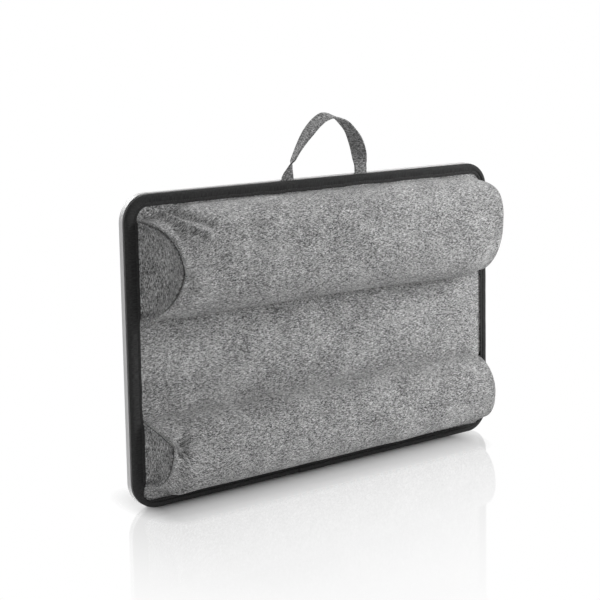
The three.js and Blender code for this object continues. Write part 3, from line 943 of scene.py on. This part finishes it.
def rim_path(step):
    """Points round the rim from the middle of the standing edge, their inward directions and distances."""
    straight_x, straight_z = HALF_LENGTH - CORNER_RADIUS, TRAY_WIDTH / 2 - CORNER_RADIUS
    quarter = CORNER_RADIUS * math.pi / 2
    # Each run's way out, its length, and the length before its middle or the angle where it begins
    runs = [
        ("line", (0, -1), straight_x, 0),
        ("turn", (1, -1), quarter, -90),
        ("line", (1, 0), 2 * straight_z, straight_z),
        ("turn", (1, 1), quarter, 0),
        ("line", (0, 1), 2 * straight_x, straight_x),
        ("turn", (-1, 1), quarter, 90),
        ("line", (-1, 0), 2 * straight_z, straight_z),
        ("turn", (-1, -1), quarter, 180),
        ("line", (0, -1), straight_x, straight_x),
    ]
    places, inwards, distances = [], [], []
    gone = 0.0
    for kind, way, length, begin in runs:
        count = max(round(length / step), 2)
        for share in np.arange(count) / count:
            if kind == "line":
                outward = np.array(way, float)
                heading = np.array([-outward[1], outward[0]])
                reach = np.dot(np.abs(outward), (HALF_LENGTH, TRAY_WIDTH / 2))
                place = outward * reach + heading * (share * length - begin)
            else:
                angle = math.radians(begin + 90 * share)
                outward = np.array([math.cos(angle), math.sin(angle)])
                place = np.array(way) * (straight_x, straight_z) + outward * CORNER_RADIUS
            places.append(place + (0, TRAY_WIDTH / 2))
            inwards.append(-outward)
            distances.append(gone + share * length)
        gone += length
    return np.array(places), np.array(inwards), np.array(distances)


def tape_section(width, crown):
    """Folded tape as pairs of inset and depth: its back, its outer fold, its crowned front and its inside."""
    sewn = width - TAPE_STITCH_INSET
    return [
        (width, 2.2), (6, 2.0), (1.2, 2.15),
        (0.35, 2.9), (0.0, 4.4), (0.3, 5.9),
        (1.3, 6.9 + 0.4 * crown), (3.2, 7.3 + 0.7 * crown),
        (5.4, 7.3 + 0.8 * crown), (7.4, 7.0 + 0.6 * crown),
        (sewn - 0.6, 6.8 + 0.2 * crown), (sewn, 6.55), (sewn + 0.6, 6.8 + 0.2 * TAPE_LIFT),
        (width - 1.6, 6.85 + 0.7 * TAPE_LIFT), (width - 0.5, 6.7 + TAPE_LIFT), (width, 6.3 + TAPE_LIFT),
        (width - 0.3, 5.9 + TAPE_LIFT), (width - 2.5, 5.9 + 0.3 * TAPE_LIFT),
        (7, 5.85), (1.4, 5.7), (1.2, 4.4), (1.4, 3.3), (7, 3.1), (width - 0.2, 3.0),
    ]


def tape_width(place):
    start, end = HANDLE_WAVE_REACH
    near_handle = ease(-abs(place[0] - HANDLE_CENTRE), -end, -start)
    near_handle *= ease(place[1], TRAY_WIDTH - 1, TRAY_WIDTH)
    swing = TAPE_WAVE + (TAPE_WAVE_AT_HANDLE - TAPE_WAVE) * near_handle
    at_right = ease(place[0], HALF_LENGTH - CORNER_RADIUS, HALF_LENGTH)
    at_foot = ease(-place[1], -CORNER_RADIUS, 0)
    width = TAPE_WIDTH + (TAPE_WIDTH_RIGHT - TAPE_WIDTH) * at_right
    width += (TAPE_WIDTH_FOOT - width) * at_foot
    width += TAPE_EXTRA * beside_left_panel(place)
    past = np.abs(np.subtract(place, (0, TRAY_WIDTH / 2))) - (HALF_LENGTH, TRAY_WIDTH / 2) + CORNER_RADIUS
    if past.min() > 0:
        squareness = TAPE_SQUARENESS if place[1] < TRAY_WIDTH / 2 else TAPE_SQUARENESS_TOP
        squared = np.linalg.norm(past / np.hypot(*past), squareness)
        width = CORNER_RADIUS - (CORNER_RADIUS - width) / squared
    return width + swing * ripple(place[0] + 1.7 * place[1], TAPE_WAVE_LENGTH, seed=3.1)


def beside_left_panel(place):
    """1 on the rim's left side at an end panel's heights, and 0 elsewhere."""
    before, within = TAPE_EXTRA_BEFORE, TAPE_EXTRA_WITHIN
    along_panels = sum(
        ease(place[1], panel.foot - before, panel.foot + within)
        * ease(-place[1], -panel.top - before, within - panel.top)
        for panel in (UPPER.left, LOWER.left)
    )
    return along_panels * ease(-place[0], HALF_LENGTH - 1, HALF_LENGTH)


def stitch_rings(centre, along, out):
    """A sewn stitch as the rings of a short rounded bar, pressed in at both ends."""
    angles = np.linspace(0, 2 * math.pi, STITCH_SIDES, endpoint=False)
    turn = np.outer(np.cos(angles), np.cross(along, out)) + np.outer(np.sin(angles), out)
    return [
        centre + along * share * STITCH_LENGTH + (turn * thick - out * sunk) * THREAD_RADIUS
        for share, thick, sunk in STITCH_RINGS
    ]


def sew(name, stitches, thread, body):
    """One piece of all the stitches of a seam, each given by its centre, its run and its way out."""
    points = np.array([stitch_rings(*place) for place in stitches])
    count, rings, around = points.shape[:3]
    size = rings * around
    bar = tube_faces(rings, around)
    faces = [
        tuple(corner + start for corner in side)
        for start in range(0, count * size, size)
        for side in bar
    ]
    seam = make_piece(name, points, faces)
    turn_outwards(seam)
    dress(seam, thread, body)


def tape_ring(place, inward, distance):
    """The tape's section at one place of the rim."""
    width = tape_width(place)
    crown = 1 + TAPE_CROWN_SPREAD * ripple(distance, TAPE_CROWN_LENGTH, seed=7.7)
    section = np.array(tape_section(width, crown))
    rub = TAPE_CRUMPLE * ripple(distance, TAPE_CRUMPLE_LENGTH, seed=1.3)
    roll = TAPE_ROLL * beside_left_panel(place)
    section[TAPE_FRONT, 1] += rub + roll * (0.5 - section[TAPE_FRONT, 0] / width)
    drawn_in = TAPE_TOP_INSET * ease(place[1], TRAY_WIDTH - TOP_INSET_FADE, TRAY_WIDTH)
    inset = drawn_in + section[:, 0] * (1 - drawn_in / TOP_INSET_REACH)
    section[:, 0] = np.maximum(section[:, 0], inset)
    return [(*(place + inward * inset), depth) for inset, depth in section]


def tape_stitches(places, inwards, distances):
    """Stitches round the tape, a little way from its inner edge."""
    stitches = []
    for distance in np.arange(0, distances[-1], STITCH_PITCH):
        index = int(np.searchsorted(distances, distance))
        place, inward = places[index], inwards[index]
        after = places[(index + 1) % len(places)] - place
        along = np.array([*(after / np.linalg.norm(after)), 0])
        inset = tape_width(place) - TAPE_STITCH_INSET
        centre = np.array([*(place + inward * inset), TAPE_STITCH_DEPTH])
        stitches.append((centre, along, np.array([0, 0, 1.0])))
    return stitches


def edge_binding(material, thread):
    places, inwards, distances = rim_path(TAPE_STEP)
    points = np.array([tape_ring(*spot) for spot in zip(places, inwards, distances)])
    count, around = points.shape[:2]
    faces = grid_faces(count + 1, around, ring=True)
    faces = [tuple(corner % (count * around) for corner in face) for face in faces]
    lengths = np.linalg.norm(np.diff(points[0], axis=0), axis=1)
    across = np.concatenate([[0], np.cumsum(lengths)])
    cloth_map = np.stack(np.broadcast_arrays(distances[:, None], across[None, :]), axis=-1)
    piece = make_piece("edge_binding_tape", points, faces, cloth_map)
    turn_outwards(piece)
    dress(piece, material, "desk")
    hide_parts("edge_binding")
    sew("edge_binding_stitches", tape_stitches(places, inwards, distances), thread, "desk")


def binding_lap(material):
    """The tape's free end, folded under and sewn over its start on the standing edge."""
    rings = []
    for share in np.linspace(0, 1, LAP_STEPS):
        along = LAP_START + LAP_LENGTH * share
        section = np.array(tape_section(tape_width((along, 0)), 1))[LAP_SIDE]
        outer = section + (0, LAP_THICKNESS * min(1, (1 - share) * LAP_TAPER))
        outer[:2, 1] = section[:2, 1] + LAP_FOOT
        inner = section[::-1] + LAP_INSIDE
        rings.append([(along, inset, depth) for inset, depth in [*outer, *inner]])
    points = np.array(rings)
    around = np.arange(points.shape[1])
    cloth_map = np.stack(np.broadcast_arrays(points[:, :1, 0], around[None, :]), axis=-1)
    piece = make_piece("edge_binding_lap", points, tube_faces(*points.shape[:2]), cloth_map)
    turn_outwards(piece)
    dress(piece, material, "desk")


# Carry handle


def bezier(ends, count):
    share = np.linspace(0, 1, count)[:, None]
    first, second, third, fourth = np.array(ends, float)
    near = first * (1 - share) ** 3 + 3 * second * share * (1 - share) ** 2
    return near + 3 * third * share**2 * (1 - share) + fourth * share**3


def handle_route():
    """Evenly spaced points of the loop from its left fold to its right one, and their distances along it."""
    left, right = HANDLE_CENTRE - HANDLE_SPAN / 2, HANDLE_CENTRE + HANDLE_SPAN / 2
    top, peak = HANDLE_CENTRE + HANDLE_TOP_OFFSET, FOLD_HEIGHT + HANDLE_RISE
    left_leg = [(left, FOLD_HEIGHT), (left, FOLD_HEIGHT + LEFT_LEG_PULL)]
    right_leg = [(right, FOLD_HEIGHT + RIGHT_LEG_PULL), (right, FOLD_HEIGHT)]
    rising = bezier([*left_leg, (top - TOP_PULL_LEFT, peak), (top, peak)], 400)
    falling = bezier([(top, peak), (top + TOP_PULL_RIGHT, peak), *right_leg], 400)
    fine = np.vstack([rising, falling[1:]])
    gone = np.concatenate([[0], np.cumsum(np.linalg.norm(np.diff(fine, axis=0), axis=1))])
    even = np.linspace(0, gone[-1], STRAP_STEPS + 1)
    route = np.stack([np.interp(even, gone, fine[:, axis]) for axis in (0, 1)], axis=-1)
    return route, even


def strap_frames():
    """Centre, along, across and face directions of the strap at each of its places, and their distances."""
    route, gone = handle_route()
    length = gone[-1]
    tangents = np.gradient(route, axis=0)
    tangents /= np.linalg.norm(tangents, axis=1)[:, None]
    frames = []
    for place, tangent, distance in zip(route, tangents, gone):
        from_root = min(distance, length - distance)
        upright = np.array([0, 1.0 if distance < length / 2 else -1.0])
        heading = upright + (tangent - upright) * ease(from_root, 0, STRAP_SHEAR)
        heading /= np.linalg.norm(heading)
        left = np.interp(distance, *zip(*LEFT_TURNS))
        right = np.interp(length - distance, *zip(*RIGHT_TURNS))
        turn = math.radians(min(left, right))
        pinch = 1 - LEFT_PINCH * math.exp(-(((distance - LEFT_PINCH_PLACE) / LEFT_PINCH_LENGTH) ** 2))
        along = np.array([*heading, 0])
        inward = np.array([heading[1], -heading[0], 0]) * math.sin(turn)
        face = inward + np.array([0, 0, math.cos(turn)])
        lean = HANDLE_LEAN * ease(place[1], FOLD_HEIGHT, FOLD_HEIGHT + HANDLE_RISE)
        centre = np.array([*place, FOLD_DEPTH + lean])
        frames.append((centre, along, np.cross(along, face) * pinch, face))
    return frames, gone


def root_frames(fold):
    """Frames of one sewn end of the strap, going down behind the binding from its fold."""
    centre, *ways = fold
    return [(centre - (0, drop, 0), *ways) for drop in ROOT_DROPS]


def strap_section():
    """The strap's section in shares of half its width and thickness: thick hems and a thinner middle."""
    half = [
        (1.0, 0.0), (0.985, 0.55), (0.94, 0.92), (0.86, 1.0), (0.78, 0.95), (0.72, 0.74),
        (0.66, 0.9), (0.5, 0.84), (0.25, 0.8), (0.0, 0.8),
    ]
    front = half + [(-share, thick) for share, thick in half[-2::-1]]
    return front + [(share, -thick) for share, thick in front[-2:0:-1]]


def carry_handle(cloth, thread):
    frames, gone = strap_frames()
    places = [*root_frames(frames[0])[::-1], *frames, *root_frames(frames[-1])]
    distances = np.concatenate([-ROOT_DROPS[::-1], gone, gone[-1] + ROOT_DROPS])
    section = strap_section()
    rings = []
    for centre, _, across, face in places:
        freed = ease(centre[1], FOLD_HEIGHT - SQUEEZE_BELOW, FOLD_HEIGHT + SQUEEZE_ABOVE)
        half_thickness = STRAP_HALF_THICKNESS * (ROOT_SQUEEZE + (1 - ROOT_SQUEEZE) * freed)
        rings.append([
            centre + across * share * STRAP_WIDTH / 2 + face * thick * half_thickness
            for share, thick in section
        ])
    points = np.array(rings)
    across_map = np.array(section)[:, 0] * STRAP_WIDTH / 2
    cloth_map = np.stack(np.broadcast_arrays(across_map[None, :], distances[:, None]), axis=-1)
    strap = make_piece("carry_strap", points, tube_faces(*points.shape[:2]), cloth_map)
    turn_outwards(strap)
    strap.data.materials.append(cloth)
    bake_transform(strap)
    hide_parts("carry_handle", "handle_root_left", "handle_root_right")
    sew("carry_strap_stitches", strap_stitches(frames, gone), thread, "handle")


def strap_stitches(frames, gone):
    """Two rows of stitches along the strap's hems, on both faces."""
    stitches = []
    for distance in np.arange(STRAP_STITCH_MARGIN, gone[-1] - STRAP_STITCH_MARGIN, STITCH_PITCH):
        index = int(np.searchsorted(gone, distance))
        centre, _, across, face = frames[index]
        run = frames[index + 1][0] - centre
        along = run / np.linalg.norm(run)
        for row in (-1, 1):
            hem = centre + across * row * (STRAP_WIDTH / 2 - STRAP_STITCH_INSET)
            for out in (-1, 1):
                middle = hem + face * out * STRAP_HALF_THICKNESS * STRAP_STITCH_LEVEL
                stitches.append((middle, along, face * out))
    return stitches


# Tray and hidden layers


def finish_node(name, material):
    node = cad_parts[name]
    node.data.materials.clear()
    node.data.materials.append(material)
    return node


def soften_edges(node):
    bevel = node.modifiers.new("soft_edges", "BEVEL")
    bevel.width = TRAY_BEVEL * MM
    bevel.segments = 2
    bevel.limit_method = "ANGLE"
    bevel.angle_limit = math.radians(40)


def dress_tray():
    laminate = grey_laminate()
    finish_node("work_surface", laminate)
    finish_node("back_laminate", laminate)
    finish_node("tray_core", fibre_board())
    band = silver_band()
    soften_edges(finish_node("edge_band", band))
    soften_edges(finish_node("edge_band_closer", band))
    tape = foam()
    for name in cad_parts:
        if name.startswith("foam_tape"):
            finish_node(name, tape)
    finish_node("base_cloth", plain_cloth("dark_cloth", BASE_CLOTH_GREYS))


def dress_cushion():
    cloth = melange_cloth("cushion_cloth", CUSHION_GREYS)
    main_panel(cloth)
    bag_cloth = plain_cloth("white_cloth", BAG_CLOTH_GREYS)
    for bolster in (UPPER, LOWER):
        for side in (-1, 1):
            end_panel(bolster, side, cloth)
        bead_bag(bolster, bag_cloth)
    tape = black_tape()
    edge_binding(tape, sewing_thread("black_thread", BLACK_THREAD_GREYS))
    binding_lap(tape)
    strap_cloth = melange_cloth("strap_cloth", STRAP_GREYS)
    carry_handle(strap_cloth, sewing_thread("grey_thread", GREY_THREAD_GREYS))


# Stage


def floor_material():
    """White that keeps the desk's shadow near it and mirrors it faintly, fading out with distance."""
    look = Surface("floor", Base_Color=rgba(FLOOR_LEVEL), Roughness=1, Specular_IOR_Level=0)
    apart = look.vector_maths("SUBTRACT", look.place("Object"), CONTACT)
    apart = look.vector_maths("SUBTRACT", look.vector_maths("ABSOLUTE", apart), CONTACT_HALF)
    apart = look.stretched(look.vector_maths("MAXIMUM", apart), FLOOR_STRETCH)
    away = look.vector_maths("LENGTH", apart, output="Value")
    clear = look.maths("MULTIPLY", look.remap(away, (0, SHADOW_FADE)), look.white_rays())
    near = look.remap(away, (MIRROR_NEAR, MIRROR_FAR), (1, 0))
    mirror = look.maths("MULTIPLY", look.maths("POWER", near, MIRROR_FALL), MIRROR)
    white = look.add("ShaderNodeEmission", {"Color": rgba(1), "Strength": 1.0})
    gloss = look.add("ShaderNodeBsdfGlossy", {"Color": rgba(1), "Roughness": MIRROR_ROUGHNESS})
    mixed = look.shader
    for share, other in ((clear, white), (mirror, gloss)):
        inputs = {0: share, 1: mixed.outputs[0], 2: other.outputs[0]}
        mixed = look.add("ShaderNodeMixShader", inputs)
    look.tree.links.new(mixed.outputs[0], look.tree.nodes["Material Output"].inputs["Surface"])
    return look.material


def studio_floor():
    corners = [(x * FLOOR_REACH, y * FLOOR_REACH, 0) for x, y in ((-1, -1), (1, -1), (1, 1), (-1, 1))]
    mesh = bpy.data.meshes.new("floor")
    mesh.from_pydata(corners, [], [(0, 1, 2, 3)])
    mesh.materials.append(floor_material())
    floor = bpy.data.objects.new("floor", mesh)
    bpy.context.scene.collection.objects.link(floor)


def soft_lamp(name, power, size, place):
    lamp = bpy.data.lights.new(name, "AREA")
    lamp.energy = power
    lamp.size = size
    holder = bpy.data.objects.new(name, lamp)
    holder.location = place
    holder.rotation_euler = (Vector(AIM) - Vector(place)).to_track_quat("-Z", "Y").to_euler()
    bpy.context.scene.collection.objects.link(holder)


def white_world():
    world = bpy.data.worlds.new("studio")
    world.use_nodes = True
    bpy.context.scene.world = world
    sky = Nodes(world.node_tree)
    across, back, _ = sky.parts(sky.place("Generated"))
    front = sky.remap(back, (-1, 1), (1 + SKY_FRONT, 1 - SKY_FRONT))
    side = sky.remap(across, (-1, 1), (1 + SKY_LEFT, 1 - SKY_LEFT))
    light = sky.maths("MULTIPLY", sky.maths("MULTIPLY", front, side), SKY)
    background = sky.tree.nodes["Background"]
    background.inputs["Color"].default_value = rgba(1)
    sky.tree.links.new(sky.mix(sky.white_rays(), light, 1.0), background.inputs["Strength"])


def photo_camera():
    azimuth, pitch = math.radians(CAMERA_AZIMUTH), math.radians(CAMERA_PITCH)
    level = Vector((math.sin(azimuth), -math.cos(azimuth), 0))
    back = level * math.cos(pitch) + Vector((0, 0, math.sin(pitch)))
    lens = bpy.data.cameras.new("photo_camera")
    lens.sensor_width = SENSOR_WIDTH
    lens.lens = CAMERA_LENS
    lens.shift_y = CAMERA_SHIFT
    camera = bpy.data.objects.new("photo_camera", lens)
    upright = (-back).to_track_quat("-Z", "Y").to_matrix().to_4x4()
    rolled = upright @ Matrix.Rotation(math.radians(CAMERA_ROLL), 4, "Z")
    place = (Vector(CAMERA_TARGET) + back * CAMERA_DISTANCE) * MM
    camera.matrix_world = Matrix.Translation(place) @ rolled
    bpy.context.scene.collection.objects.link(camera)
    bpy.context.scene.camera = camera


dress_tray()
dress_cushion()
studio_floor()
for name, (power, size, place) in LAMPS.items():
    soft_lamp(name, power, size, place)
white_world()
photo_camera()
bpy.context.scene.view_settings.view_transform = "Standard"
